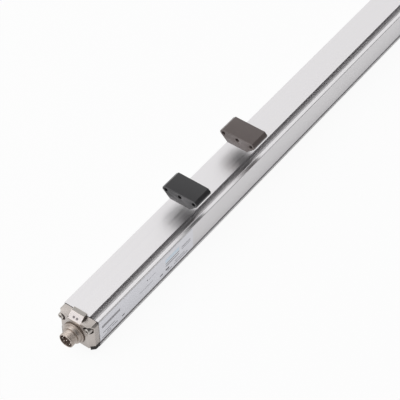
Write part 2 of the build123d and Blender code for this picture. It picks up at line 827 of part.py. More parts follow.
def block_magnet(name, place):
    """One block magnet centred at X = place: a moulded housing with three holes
    along X, two magnet bars let in from below and the plate that covers them."""
    underside = rail_height + magnet_gap
    hole_height = underside + magnet_height - magnet_hole_depth
    start = place - magnet_length / 2
    recess_width = 2 * magnet_bar_width + magnet_bar_gap
    recess_length = magnet_length - 2 * magnet_wall
    with BuildPart() as housing:
        with BuildSketch(Plane.YZ.offset(start)) as outline:
            with Locations((0, underside)):
                Rectangle(magnet_width, magnet_height, align=(Align.CENTER, Align.MIN))
            chamfer(outline.vertices().group_by(Axis.Y)[0], magnet_chamfer)
            chamfer(outline.vertices().group_by(Axis.Y)[-1], magnet_top_chamfer)
            with Locations((0, hole_height)):
                with GridLocations(magnet_hole_spacing, 1, 3, 1):
                    Circle(magnet_hole_radius, mode=Mode.SUBTRACT)
        extrude(amount=magnet_length)
        with BuildSketch(Plane.XY.offset(underside)):
            with Locations((place, 0)):
                Rectangle(recess_length, recess_width)
        extrude(amount=magnet_bar_height + magnet_cover_thickness, mode=Mode.SUBTRACT)
    save(housing, f"{name}_housing")
    with BuildPart() as bars:
        with BuildSketch(Plane.XY.offset(underside + magnet_cover_thickness)):
            with Locations((place, 0)):
                with GridLocations(1, magnet_bar_width + magnet_bar_gap, 1, 2):
                    Rectangle(recess_length - 2 * fit_clearance, magnet_bar_width - fit_clearance)
        extrude(amount=magnet_bar_height)
    save(bars, f"{name}_bars")
    with BuildPart() as cover:
        with BuildSketch(Plane.XY.offset(underside)):
            with Locations((place, 0)):
                Rectangle(recess_length - fit_clearance, recess_width - fit_clearance)
        extrude(amount=magnet_cover_thickness)
    save(cover, f"{name}_cover")


block_magnet("front_magnet", front_magnet_place)
block_magnet("rear_magnet", rear_magnet_place)
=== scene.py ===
# %% [markdown]
# # A magnetostrictive linear position sensor
# An aluminium rail holds a sensing wire. Two block magnets are carried along over it by a machine,
# and the electronics behind the inlet's cap work out where each magnet is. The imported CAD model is
# loaded as a fixed frame: it is in metres, X runs along the rail away from the inlet, Y across it
# and Z up. What the CAD model already has right is kept and only gets a better finish.

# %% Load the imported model
import bmesh
import bpy
import numpy as np
from mathutils import Matrix


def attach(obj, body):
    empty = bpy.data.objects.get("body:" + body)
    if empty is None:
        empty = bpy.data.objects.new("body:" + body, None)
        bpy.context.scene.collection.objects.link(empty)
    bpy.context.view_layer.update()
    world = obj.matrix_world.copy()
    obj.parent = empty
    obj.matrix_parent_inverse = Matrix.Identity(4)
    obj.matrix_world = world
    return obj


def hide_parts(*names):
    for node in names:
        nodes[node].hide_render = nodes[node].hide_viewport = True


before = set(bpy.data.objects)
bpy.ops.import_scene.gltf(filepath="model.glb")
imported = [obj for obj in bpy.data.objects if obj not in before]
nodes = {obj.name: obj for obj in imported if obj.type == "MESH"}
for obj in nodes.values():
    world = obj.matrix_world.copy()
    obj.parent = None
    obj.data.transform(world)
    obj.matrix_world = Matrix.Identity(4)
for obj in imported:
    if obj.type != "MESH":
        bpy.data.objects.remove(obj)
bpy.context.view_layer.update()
scene = bpy.context.scene
MM = 0.001

# %% [markdown]
# ## Camera
# The photograph looks down on the inlet's end through a long lens, so the rail's edges run almost
# parallel and leave the picture at the top. The camera could be placed by eye. Here its place and
# angles were measured from the rail's edges and the magnets' corners, and the matrix is built from
# three directions: to the camera's right, up, and backwards away from what it looks at.

# %% Camera
azimuth, elevation, roll = np.radians([-52.94, 48.02, -0.56])
backward = np.array([
    np.sin(azimuth) * np.cos(elevation),
    -np.cos(azimuth) * np.cos(elevation),
    np.sin(elevation),
])
level = np.array([np.cos(azimuth), np.sin(azimuth), 0.0])
upright = np.cross(backward, level)
rightward = level * np.cos(roll) + upright * np.sin(roll)
upward = upright * np.cos(roll) - level * np.sin(roll)
camera_place = np.array([-0.8145, -0.6917, 1.3030])
sensor_width, focal_length = 36.0, 155.2

camera_lens = bpy.data.cameras.new("camera")
camera_lens.sensor_width = sensor_width
camera_lens.lens = focal_length
camera = bpy.data.objects.new("camera", camera_lens)
camera.matrix_world = Matrix(
    np.column_stack([rightward, upward, backward, camera_place]).tolist() + [[0, 0, 0, 1]]
)
scene.collection.objects.link(camera)
scene.camera = camera
print("camera looks along", np.round(-backward, 3))

# %% [markdown]
# ## Helpers for finishes
# A finish is a Principled BSDF whose fixed values stand on its own sockets. Only what changes over
# the surface is linked: a mask mixes two colours and spreads the roughness, and a height goes
# through a Bump node. Three small helpers keep each material short to read.

# %% Helpers for finishes
def screen(red, green, blue):
    """A colour read from the screen, 0 to 255, as Blender's linear colour: each part is divided
    by 255 and has the screen's curve of about 2.4 undone."""
    value = np.array([red, green, blue]) / 255
    light = np.where(value <= 0.04045, value / 12.92, ((value + 0.055) / 1.055) ** 2.4)
    return (*light.tolist(), 1.0)


def add_node(tree, kind, values=None, links=None, **settings):
    """One node in a tree, with its settings, fixed socket values and incoming links."""
    node = tree.nodes.new(kind)
    for label, setting in settings.items():
        setattr(node, label, setting)
    for label, value in (values or {}).items():
        node.inputs[label].default_value = value
    for label, output in (links or {}).items():
        tree.links.new(output, node.inputs[label])
    return node


def mix_colours(tree, factor, first, second):
    """A colour that goes from first to second as the factor goes from 0 to 1."""
    mix = add_node(tree, "ShaderNodeMix", data_type="RGBA")
    for socket, value in ((mix.inputs[6], first), (mix.inputs[7], second)):
        if isinstance(value, tuple):
            socket.default_value = value
        else:
            tree.links.new(value, socket)
    tree.links.new(factor, mix.inputs[0])
    return mix.outputs[2]


def spread(tree, factor, low, high):
    """A number that goes from low to high as the factor goes from 0.3 to 0.7."""
    values = {"From Min": 0.3, "From Max": 0.7, "To Min": low, "To Max": high}
    return add_node(tree, "ShaderNodeMapRange", values, {"Value": factor}).outputs["Result"]


print("white on screen is", screen(255, 255, 255))

# %% [markdown]
# ## Effects that several finishes share
# Each effect is a node group, built once and placed in each material with its own numbers. Their
# patterns read Object coordinates, so a pattern stays on its piece when the piece moves, and its
# scale is in parts per metre: 1000 repeats about once in every millimetre.

# %% Start a node group
def start_group(name, numbers, outputs):
    """A new node group with number inputs, number outputs and its two end nodes."""
    group = bpy.data.node_groups.new(name, "ShaderNodeTree")
    for label, value in numbers.items():
        socket = group.interface.new_socket(label, in_out="INPUT", socket_type="NodeSocketFloat")
        socket.default_value = value
    for label in outputs:
        group.interface.new_socket(label, in_out="OUTPUT", socket_type="NodeSocketFloat")
    return group, group.nodes.new("NodeGroupInput"), group.nodes.new("NodeGroupOutput")


# %% [markdown]
# ### Drawn lines
# An extrusion die and a drawing die leave fine lines along the metal. Noise looks the same in all
# directions, so its coordinates are squeezed: few repeats along X and many across it turn every
# speck into a long line.

# %% Drawn lines
drawn_lines, given, result = start_group(
    "drawn_lines", {"Along": 25.0, "Across": 2400.0}, ["Variation", "Height"]
)
place = add_node(drawn_lines, "ShaderNodeTexCoord").outputs["Object"]
squeeze = add_node(drawn_lines, "ShaderNodeCombineXYZ", links={
    "X": given.outputs["Along"], "Y": given.outputs["Across"], "Z": given.outputs["Across"],
})
squeezed = add_node(
    drawn_lines, "ShaderNodeVectorMath", links={0: place, 1: squeeze.outputs["Vector"]},
    operation="MULTIPLY",
).outputs["Vector"]
for label, scale in (("Height", 1.0), ("Variation", 0.16)):
    noise = add_node(
        drawn_lines, "ShaderNodeTexNoise", {"Scale": scale, "Detail": 3.0}, {"Vector": squeezed}
    )
    drawn_lines.links.new(noise.outputs["Fac"], result.inputs[label])
print("drawn_lines:", len(drawn_lines.nodes), "nodes")

# %% [markdown]
# ### Grain
# A casting's skin and moulded plastic both have a fine grain and larger soft patches. One noise
# texture at two scales gives both. A Voronoi pattern would be more pebbly, which suits leather
# better than metal or nylon.

# %% Grain
grain, given, result = start_group(
    "grain", {"Scale": 2500.0, "Patches": 120.0}, ["Variation", "Height"]
)
place = add_node(grain, "ShaderNodeTexCoord").outputs["Object"]
for label, number, detail in (("Height", "Scale", 4.0), ("Variation", "Patches", 5.0)):
    noise = add_node(
        grain, "ShaderNodeTexNoise", {"Detail": detail, "Roughness": 0.55},
        {"Vector": place, "Scale": given.outputs[number]},
    )
    grain.links.new(noise.outputs["Fac"], result.inputs[label])
print("grain:", len(grain.nodes), "nodes")

# %% [markdown]
# ### Turned lines
# A lathe tool leaves rings round the axis it turns on. Their pattern needs only two numbers for
# each point, the place along the axis and the distance from it, so both a tube's outside and its
# flat end get rings that close on themselves.

# %% Turned lines
turned_lines, given, result = start_group(
    "turned_lines", {"Rings": 3000.0, "Axis Height": 0.0184}, ["Variation", "Height"]
)
place = add_node(turned_lines, "ShaderNodeTexCoord").outputs["Object"]
apart = add_node(turned_lines, "ShaderNodeSeparateXYZ", links={"Vector": place})
above = add_node(
    turned_lines, "ShaderNodeMath", operation="SUBTRACT",
    links={0: apart.outputs["Z"], 1: given.outputs["Axis Height"]},
)
across = add_node(
    turned_lines, "ShaderNodeCombineXYZ", links={"Y": apart.outputs["Y"], "Z": above.outputs[0]}
)
reach = add_node(
    turned_lines, "ShaderNodeVectorMath", links={0: across.outputs["Vector"]}, operation="LENGTH"
)
ring_place = add_node(
    turned_lines, "ShaderNodeCombineXYZ",
    links={"X": apart.outputs["X"], "Y": reach.outputs["Value"]},
)
for label, detail, part in (("Height", 2.0, 1.0), ("Variation", 3.0, 0.1)):
    scale = add_node(
        turned_lines, "ShaderNodeMath", {1: part}, {0: given.outputs["Rings"]},
        operation="MULTIPLY",
    )
    noise = add_node(
        turned_lines, "ShaderNodeTexNoise", {"Detail": detail},
        {"Vector": ring_place.outputs["Vector"], "Scale": scale.outputs[0]},
    )
    turned_lines.links.new(noise.outputs["Fac"], result.inputs[label])
print("turned_lines:", len(turned_lines.nodes), "nodes")

# %% [markdown]
# ### Rubbed edges
# Handling polishes the edges of a casting or a moulding. A Bevel node gives the normal that the
# surface would have if its edges were rounder. Where that differs from the true normal there is an
# edge, and noise breaks the mask up so that the wear isn't an even line.

# %% Rubbed edges
rubbed_edges, given, result = start_group(
    "rubbed_edges", {"Radius": 0.0005, "Amount": 1.0}, ["Mask"]
)
rounder = add_node(
    rubbed_edges, "ShaderNodeBevel", links={"Radius": given.outputs["Radius"]}, samples=4
)
true_normal = add_node(rubbed_edges, "ShaderNodeNewGeometry").outputs["Normal"]
likeness = add_node(
    rubbed_edges, "ShaderNodeVectorMath", operation="DOT_PRODUCT",
    links={0: rounder.outputs["Normal"], 1: true_normal},
)
edge = add_node(
    rubbed_edges, "ShaderNodeMapRange", {"From Min": 0.995, "From Max": 0.90},
    {"Value": likeness.outputs["Value"]},
)
place = add_node(rubbed_edges, "ShaderNodeTexCoord").outputs["Object"]
patches = add_node(
    rubbed_edges, "ShaderNodeTexNoise", {"Scale": 700.0, "Detail": 3.0}, {"Vector": place}
)
kept = add_node(
    rubbed_edges, "ShaderNodeMapRange", {"From Min": 0.35, "From Max": 0.6},
    {"Value": patches.outputs["Fac"]},
)
patchy = add_node(
    rubbed_edges, "ShaderNodeMath", operation="MULTIPLY",
    links={0: edge.outputs["Result"], 1: kept.outputs["Result"]},
)
mask = add_node(
    rubbed_edges, "ShaderNodeMath", operation="MULTIPLY", use_clamp=True,
    links={0: patchy.outputs[0], 1: given.outputs["Amount"]},
)
rubbed_edges.links.new(mask.outputs[0], result.inputs["Mask"])
print("rubbed_edges:", len(rubbed_edges.nodes), "nodes")


# %% [markdown]
# ### Painted shade in recesses
# A darker colour is painted where shade falls: in the groove, round the screws and along the foot
# of the hood. The Ambient Occlusion node tells how open a point is within a short reach, so the
# mask is found from the form and stays right when a form changes.

# %% Shade in recesses
# Painted shade: the Mask darkens a colour where the surface is closed in.
painted_recess_shade, given, result = start_group("painted_recess_shade", {"Reach": 0.004}, ["Mask"])
openness = add_node(
    painted_recess_shade, "ShaderNodeAmbientOcclusion", samples=8,
    links={"Distance": given.outputs["Reach"]},
)
shaded = add_node(
    painted_recess_shade, "ShaderNodeMapRange", {"From Min": 0.84, "From Max": 0.4},
    {"Value": openness.outputs["AO"]},
)
painted_recess_shade.links.new(shaded.outputs["Result"], result.inputs["Mask"])
print("painted_recess_shade:", len(painted_recess_shade.nodes), "nodes")


# %% [markdown]
# ### One finish from an effect
# Most finishes here are the same recipe with other numbers: two close colours mixed by the
# effect's patches, a roughness that varies with them, a bump from its height, and where wanted a
# third, darker colour in recesses as painted shade and a fourth on rubbed edges.

# %% One finish from an effect
finishes = {}


def new_finish(
    slot, effect, numbers, colours, roughness, bump, worn=None, painted_shade=None, **fixed
):
    """A material for one slot of the record. Base Color is colours[0] mixed with colours[1] by
    the effect's Variation, Roughness is spread over the two given values, and the effect's
    Height makes a bump of the given depth in metres. worn is a colour and an amount for edges.
    The last argument is a colour and a reach in metres for painted shade in recesses."""
    material = bpy.data.materials.new(slot)
    material.use_nodes = True
    tree = material.node_tree
    shader = tree.nodes["Principled BSDF"]
    for label, value in fixed.items():
        shader.inputs[label.replace("_", " ")].default_value = value
    source = add_node(tree, "ShaderNodeGroup", node_tree=effect)
    for label, value in numbers.items():
        source.inputs[label].default_value = value
    colour = mix_colours(tree, source.outputs["Variation"], *colours)
    # Painted shade: a darker colour is mixed in where the surface is closed in.
    if painted_shade:
        shade = add_node(tree, "ShaderNodeGroup", node_tree=painted_recess_shade)
        shade.inputs["Reach"].default_value = painted_shade[1]
        colour = mix_colours(tree, shade.outputs["Mask"], colour, painted_shade[0])
    if worn:
        wear = add_node(tree, "ShaderNodeGroup", node_tree=rubbed_edges)
        wear.inputs["Amount"].default_value = worn[1]
        colour = mix_colours(tree, wear.outputs["Mask"], colour, worn[0])
    tree.links.new(colour, shader.inputs["Base Color"])
    rough = spread(tree, source.outputs["Variation"], *roughness)
    tree.links.new(rough, shader.inputs["Roughness"])
    relief = add_node(
        tree, "ShaderNodeBump", {"Strength": 1.0, "Distance": bump},
        {"Height": source.outputs["Height"]},
    )
    tree.links.new(relief.outputs["Normal"], shader.inputs["Normal"])
    finishes[slot] = material
    return material


def dress(slot, *names):
    """Gives CAD nodes the finish of a slot. Their meshes stay as they are."""
    for name in names:
        nodes[name].data.materials.clear()
        nodes[name].data.materials.append(finishes[slot])


# %% [markdown]
# ## Finishes of the outside
# The rail is natural anodised aluminium, almost as light as the paper behind it, with soft
# reflections stretched along the extrusion. The cap is a nickel-plated casting, warmer and darker.
# The inlet and the screws are bright turned metal. The colours come from the photograph.

# %% Metals of the outside
# The rail's third colour darkens its groove and inner corners: painted shade.
new_finish(
    "rail_aluminium", drawn_lines, {"Along": 22.0, "Across": 2600.0},
    (screen(226, 224, 226), screen(234, 232, 233)), (0.3, 0.4), 0.000012,
    painted_shade=(screen(128, 126, 128), 0.005), Metallic=1.0,
)
# The casting's third, brown colour darkens its pockets and the foot of the hood: painted shade.
new_finish(
    "cast_metal", grain, {"Scale": 2600.0, "Patches": 160.0},
    (screen(186, 179, 174), screen(198, 191, 186)), (0.34, 0.46), 0.00003,
    worn=(screen(222, 214, 206), 0.6), painted_shade=(screen(96, 84, 78), 0.004), Metallic=1.0,
)
new_finish(
    "nickel_plate", turned_lines, {"Rings": 2600.0},
    (screen(172, 162, 155), screen(188, 178, 170)), (0.38, 0.48), 0.000008, Metallic=1.0,
)
new_finish(
    "screw_steel", grain, {"Scale": 4000.0, "Patches": 300.0},
    (screen(178, 173, 168), screen(194, 189, 184)), (0.3, 0.42), 0.000006, Metallic=1.0,
)
print("metals:", sorted(finishes))

# %% [markdown]
# Plastics and rubber reflect only a little, so their own colour shows, and a fine grain breaks the
# highlights up. The front magnet is moulded in black, the rear one in a brownish grey.

# %% Plastics and rubber of the outside
new_finish(
    "black_rubber", grain, {"Scale": 3500.0, "Patches": 200.0},
    (screen(38, 36, 35), screen(50, 48, 47)), (0.6, 0.75), 0.00002,
)
new_finish(
    "ring_rubber", grain, {"Scale": 3500.0, "Patches": 200.0},
    (screen(100, 87, 77), screen(116, 102, 91)), (0.6, 0.75), 0.00002,
)
new_finish(
    "insert_plastic", grain, {"Scale": 3500.0, "Patches": 200.0},
    (screen(88, 64, 58), screen(102, 76, 68)), (0.45, 0.6), 0.00002,
)
new_finish(
    "black_plastic", grain, {"Scale": 3500.0, "Patches": 200.0},
    (screen(34, 31, 31), screen(46, 42, 42)), (0.45, 0.6), 0.00002,
)
new_finish(
    "white_plastic", grain, {"Scale": 3000.0, "Patches": 150.0},
    (screen(238, 228, 226), screen(243, 235, 232)), (0.3, 0.4), 0.000005,
)
new_finish(
    "clear_plastic", grain, {"Scale": 3000.0, "Patches": 400.0},
    (screen(104, 94, 96), screen(122, 112, 113)), (0.12, 0.2), 0.000004, Coat_Weight=0.5,
)
new_finish(
    "magnet_black", grain, {"Scale": 3200.0, "Patches": 140.0},
    (screen(44, 43, 45), screen(54, 53, 55)), (0.3, 0.42), 0.00003,
    worn=(screen(92, 90, 90), 0.5),
)
new_finish(
    "magnet_brown", grain, {"Scale": 3200.0, "Patches": 140.0},
    (screen(98, 88, 86), screen(108, 98, 95)), (0.3, 0.42), 0.00003,
    worn=(screen(134, 126, 122), 0.5),
)
print("plastics added:", len(finishes), "finishes")

# %% [markdown]
# ## Finishes of the inside
# The inside shows only when a cap is taken off, but each piece still has the look of its real
# counterpart. The circuit board has copper tracks under green lacquer. A Voronoi texture divides
# the board into cells and gives each point's distance from the nearest border. Where that is small
# there is a track.

# %% Copper tracks
copper_tracks, given, result = start_group(
    "copper_tracks", {"Scale": 500.0}, ["Variation", "Height"]
)
place = add_node(copper_tracks, "ShaderNodeTexCoord").outputs["Object"]
cells = add_node(
    copper_tracks, "ShaderNodeTexVoronoi", {"Randomness": 0.7},
    {"Vector": place, "Scale": given.outputs["Scale"]}, feature="DISTANCE_TO_EDGE",
)
track = add_node(
    copper_tracks, "ShaderNodeMapRange", {"From Min": 0.05, "From Max": 0.12},
    {"Value": cells.outputs["Distance"]},
)
for label in ("Variation", "Height"):
    copper_tracks.links.new(track.outputs["Result"], result.inputs[label])
print("copper_tracks:", len(copper_tracks.nodes), "nodes")

# %% [markdown]
# ### The other finishes of the inside
# The coil uses the drawn lines with their directions exchanged: many repeats along X and few
# across it give lines round the coil, like the turns of a thin wire. The cans of the capacitors
# and the brass tube keep the lines along X. Ferrite is a dark ceramic, so it gets the grain.

# %% Finishes of the inside
new_finish(
    "board_green", copper_tracks, {"Scale": 450.0},
    (screen(46, 118, 74), screen(28, 84, 50)), (0.3, 0.38), 0.00003,
)
new_finish(
    "copper", drawn_lines, {"Along": 5000.0, "Across": 40.0},
    (screen(176, 96, 58), screen(206, 122, 78)), (0.25, 0.4), 0.00004, Metallic=1.0,
)
new_finish(
    "pin_metal", turned_lines, {"Rings": 4000.0},
    (screen(242, 232, 224), screen(248, 240, 234)), (0.3, 0.4), 0.000004, Metallic=1.0,
)
new_finish(
    "can_aluminium", drawn_lines, {"Along": 60.0, "Across": 3000.0},
    (screen(200, 200, 202), screen(216, 216, 218)), (0.25, 0.35), 0.00001, Metallic=1.0,
)
new_finish(
    "tube_brass", drawn_lines, {"Along": 20.0, "Across": 3000.0},
    (screen(206, 178, 106), screen(222, 196, 128)), (0.2, 0.32), 0.00001, Metallic=1.0,
)
new_finish(
    "ferrite", grain, {"Scale": 4000.0, "Patches": 300.0},
    (screen(70, 70, 74), screen(88, 88, 92)), (0.4, 0.55), 0.00003, Metallic=0.3,
)
print("all finishes:", len(finishes))

# %% [markdown]
# ### Dress the CAD nodes
# A node whose form is already right keeps its own mesh and only gets a finish. That could be one
# line for each node. A table of finishes with their nodes is shorter and shows at once which
# pieces look alike, and one loop works through it.

# %% Dress the CAD nodes
SLOT_NODES = {
    "rail_aluminium": ["profile_housing"],
    "black_rubber": ["connector_cap_seal", "far_cap_seal", "centring_rings", "damping_sleeve"],
    "ring_rubber": ["connector_ring"],
    "insert_plastic": ["connector_insert"],
    "white_plastic": ["led_window", "board_lamps", "tube_supports", "wire_anchor", "coil_bobbin"],
    "clear_plastic": ["light_guides"],
    "black_plastic": [
        "circuit_chips", "board_plug", "converter_housing", "front_magnet_cover",
        "rear_magnet_cover",
    ],
    "nickel_plate": ["connector_lock_nut", "earth_spring"],
    "board_green": ["connector_board", "main_circuit_board"],
    "can_aluminium": ["filter_capacitors"],
    "copper": ["pickup_coil", "flat_lead", "return_wire", "wire_bridge"],
    "ferrite": ["bias_magnet", "front_magnet_bars", "rear_magnet_bars"],
    "tube_brass": ["waveguide_tube"],
    "screw_steel": ["waveguide_wire"],
}
for slot, names in SLOT_NODES.items():
    dress(slot, *names)
print("dressed", sum(len(names) for names in SLOT_NODES.values()), "nodes")


# %% [markdown]
# ## Softened edges
# No real casting or moulding has a perfectly sharp edge: the small radius catches the light as a
# thin bright line. The CAD solids leave these radii out. A copy of the node stands for it, and a
# live Bevel modifier rounds its sharp edges. The copy's loose triangles are merged first and flat
# faces joined, because a bevel needs to know which faces meet.

# %% Softened copies
def softened(name, slot, width, body="rail_assembly", segments=3, angle=38.0):
    """A copy of a CAD node that stands for it, with every edge sharper than the angle rounded
    by a bevel of the given width in millimetres."""
    form = bmesh.new()
    form.from_mesh(nodes[name].data)
    bmesh.ops.remove_doubles(form, verts=form.verts, dist=0.002 * MM)
    bmesh.ops.dissolve_limit(form, angle_limit=np.radians(1.0), verts=form.verts, edges=form.edges)
    mesh = bpy.data.meshes.new(f"{name}_softened")
    form.to_mesh(mesh)
    form.free()
    mesh.shade_smooth()
    mesh.materials.clear()
    mesh.materials.append(finishes[slot])
    piece = bpy.data.objects.new(mesh.name, mesh)
    scene.collection.objects.link(piece)
    bevel = piece.modifiers.new("rounded edges", "BEVEL")
    bevel.width = width * MM
    bevel.segments = segments
    bevel.limit_method = "ANGLE"
    bevel.angle_limit = np.radians(angle)
    bevel.harden_normals = True
    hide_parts(name)
    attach(piece, body)
    print(piece.name, len(mesh.polygons), "faces before its bevel")
    return piece


casting_edge, screw_edge, magnet_edge = 0.35, 0.3, 0.4
softened("connector_cap", "cast_metal", casting_edge)
softened("far_cap", "cast_metal", casting_edge)
inlet_screws = softened("connector_cap_screws", "screw_steel", screw_edge)
softened("far_cap_screws", "screw_steel", screw_edge)
softened("front_magnet_housing", "magnet_black", magnet_edge, "front_magnet")
softened("rear_magnet_housing", "magnet_brown", magnet_edge, "rear_magnet")


# %% [markdown]
# ### Points of a copy
# Two of the copies are shaped further. Blender hands all places of a mesh over as one row of
# numbers, so they can be read, changed together and written back without a loop.

# %% Points of a copy
def points_of(piece):
    """The places of a piece's points in millimetres, one row for each point."""
    places = np.empty(len(piece.data.vertices) * 3)
    piece.data.vertices.foreach_get("co", places)
    return places.reshape(-1, 3) / MM


def set_points(piece, places):
    """Writes places in millimetres back into a piece's points."""
    piece.data.vertices.foreach_set("co", (places * MM).ravel())
    piece.data.update()


print("the inlet's screws have", len(points_of(inlet_screws)), "points")


# %% [markdown]
# ### Screw heads that stand out
# In the photograph the heads of the two screws beside the inlet stand a little out of their
# pockets, and their dark sides show. The CAD heads end just inside. In the copy each head's front
# is moved outwards, and the head is drawn in round its own axis.

# %% Screw heads that stand out
head_seat, head_growth, head_share = -91.2, 1.5, 0.92
screw_points = points_of(inlet_screws)
in_head = screw_points[:, 0] < head_seat
far_side = screw_points[:, 1] > 0
for one_head in (in_head & far_side, in_head & ~far_side):
    section = screw_points[one_head, 1:]
    low, high = section.min(axis=0), section.max(axis=0)
    axis_place = (low + high) / 2
    screw_points[one_head, 1:] = axis_place + head_share * (section - axis_place)
    print("screw axis at", np.round(axis_place, 2), "head", np.round(high - low, 2))
screw_points[in_head, 0] -= head_growth
set_points(inlet_screws, screw_points)

# %% [markdown]
# ### Rail with rounded lips
# The near lip of the top groove and the nose of each clamp flange are round, and the groove is a
# little narrower than in the CAD model. The copy's far groove wall is moved, and edge weights tell
# the Bevel modifier which edges to round and how much. All other edges stay as they are. A
# Weighted Normal modifier keeps the large faces beside a rounded edge flat in their shading.

# %% Rail with rounded lips
groove_near, wall_shift = -15.2, 1.1
wall_sides, wall_bottom = (-10.3, -8.6), 31.5
lip_radius, nose_radius, nose_height, rail_top = 2.2, 1.9, 2.8, 36.8
nose_side, allowance = 19.0, 0.05
rail = softened("profile_housing", "rail_aluminium", lip_radius, segments=5)
rail_points = points_of(rail)
across, up = rail_points[:, 1], rail_points[:, 2]
far_wall = (up > wall_bottom) & (across > wall_sides[0]) & (across < wall_sides[1])
across[far_wall] -= wall_shift
set_points(rail, rail_points)
at_lip = (np.abs(across - groove_near) < allowance) & (np.abs(up - rail_top) < allowance)
at_nose = (np.abs(across) > nose_side) & (np.abs(up - nose_height) < allowance)
edge_ends = np.empty(len(rail.data.edges) * 2, dtype=int)
rail.data.edges.foreach_get("vertices", edge_ends)
edge_ends = edge_ends.reshape(-1, 2)
lengthwise = np.abs(np.diff(rail_points[edge_ends, 0], axis=1)[:, 0]) > 1.0
lips = at_lip[edge_ends].all(axis=1) & lengthwise
noses = at_nose[edge_ends].all(axis=1) & lengthwise
weight = rail.data.attributes.new("bevel_weight_edge", "FLOAT", "EDGE")
nose_weights = np.where(noses, nose_radius / lip_radius, 0.0)
weight.data.foreach_set("value", np.where(lips, 1.0, nose_weights))
rail.data.set_sharp_from_angle(angle=np.radians(38.0))
rail.modifiers["rounded edges"].limit_method = "WEIGHT"
rail.modifiers["rounded edges"].harden_normals = False
flat_first = rail.modifiers.new("large faces stay flat", "WEIGHTED_NORMAL")
flat_first.keep_sharp = True
rail.data.update()
print("moved", far_wall.sum(), "points; rounded", lips.sum(), "lip and", noses.sum(), "nose edges")


# %% [markdown]
# ## Helpers for new surfaces
# A new piece is a grid of points, worked out for the whole grid at once. Neighbouring points make
# four-sided faces. A direction that closes on itself joins its last line to its first, and where a
# line shrinks to one point, merging closes the pole.

# %% Helpers for new surfaces
def grid_faces(rows, columns):
    """Four-sided faces of a grid of points whose columns close on themselves: each face joins
    point (row, column) to its neighbours in the next column and the next row."""
    index = np.arange(rows * columns).reshape(rows, columns)
    index = np.hstack([index, index[:, :1]])
    corners = [index[:-1, :-1], index[:-1, 1:], index[1:, 1:], index[1:, :-1]]
    return np.stack(corners, axis=-1).reshape(-1, 4)


def repeated_faces(grids):
    """Faces of several equal grids in one array of points, whose first direction counts the
    grids: the faces of one grid, with the numbers of all points before each grid added."""
    copies, rows, columns = grids.shape[:3]
    before = np.arange(copies)[:, None, None] * rows * columns
    return (grid_faces(rows, columns)[None] + before).reshape(-1, 4)


def new_piece(name, points, faces, slot, body="rail_assembly", material=None, sharp=35.0):
    """A piece from points in millimetres and faces: doubles are merged, faces turned outwards,
    and edges sharper than the given angle stay sharp in its shading."""
    mesh = bpy.data.meshes.new(name)
    mesh.from_pydata(points.reshape(-1, 3) * MM, [], faces)
    form = bmesh.new()
    form.from_mesh(mesh)
    bmesh.ops.remove_doubles(form, verts=form.verts, dist=0.001 * MM)
    bmesh.ops.recalc_face_normals(form, faces=form.faces)
    form.to_mesh(mesh)
    form.free()
    mesh.shade_smooth()
    mesh.set_sharp_from_angle(angle=np.radians(sharp))
    mesh.materials.append(material or finishes[slot])
    piece = bpy.data.objects.new(name, mesh)
    scene.collection.objects.link(piece)
    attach(piece, body)
    print(name, len(mesh.polygons), "faces")
    return piece


# %% [markdown]
# ## Inlet with its thread
# The inlet is turned from one bar: a flange, a collar, and a tube with a fine thread for the
# cable's nut. The CAD model draws the thread as a plain cylinder. Here the same section is carried
# round the axis, and in the threaded part the radius also follows a screw line.

# %% Inlet with its thread
axis_height = 18.4
mouth, collar_face, cap_face = -108.8, -100.8, -95.2
thread_radius, thread_depth, thread_pitch = 8.0, 0.42, 0.9


def thread_surface(along, turn, radius):
    """Radius of a threaded surface. A point's place along the axis, less the part of a pitch
    that its angle gives, repeats every pitch, and a triangle wave of it is cut into the radius.
    The cut fades out over one pitch at both ends of the thread."""
    phase = (along / thread_pitch - turn / (2 * np.pi)) % 1.0
    wave = 1.0 - np.abs(2.0 * phase - 1.0)
    from_end = np.minimum(along - mouth - 0.4, collar_face - 0.6 - along)
    return radius - thread_depth * wave * np.clip(from_end / thread_pitch, 0.0, 1.0)


thread_rows = np.linspace(mouth + 0.5, collar_face - 0.05, 140)
# Each point of the section is its place along X and its radius.
outline = np.array([
    (-88.2, 5.8), (cap_face, 5.8), (cap_face, 7.0),
    (mouth + 0.2, 7.0), (mouth, 7.15), (mouth, 7.45),
    *[(x, thread_radius) for x in thread_rows],
    (collar_face, thread_radius), (collar_face, 9.45), (collar_face + 0.12, 9.8),
    (collar_face + 0.5, 10.0), (-97.5, 10.0), (-97.2, 10.1), (-97.2, 11.3), (-97.05, 11.55),
    (-96.75, 11.6), (-96.0, 11.6), (-96.0, 7.0), (-88.2, 7.0), (-88.2, 5.8),
])
turn = np.linspace(0, 2 * np.pi, 128, endpoint=False)
along = outline[:, 0:1] + 0 * turn
radius = outline[:, 1:2] + 0 * turn
threaded = (along >= thread_rows[0]) & (along <= thread_rows[-1]) & (radius == thread_radius)
radius = np.where(threaded, thread_surface(along, turn, radius), radius)
inlet_points = np.stack(
    [along, radius * np.cos(turn), axis_height + radius * np.sin(turn)], axis=-1
)
inlet = new_piece("inlet_with_thread", inlet_points, grid_faces(*along.shape), "nickel_plate")
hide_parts("connector_shell")

# %% [markdown]
# ## Contact pins
# Seven pins stand on a circle with the eighth in the middle. Each has a domed tip, so that the
# socket slides over it. One domed pin is a profile of quarter-circle and straight side carried
# round its own axis, and adding each pin's place to the same grid gives all eight.

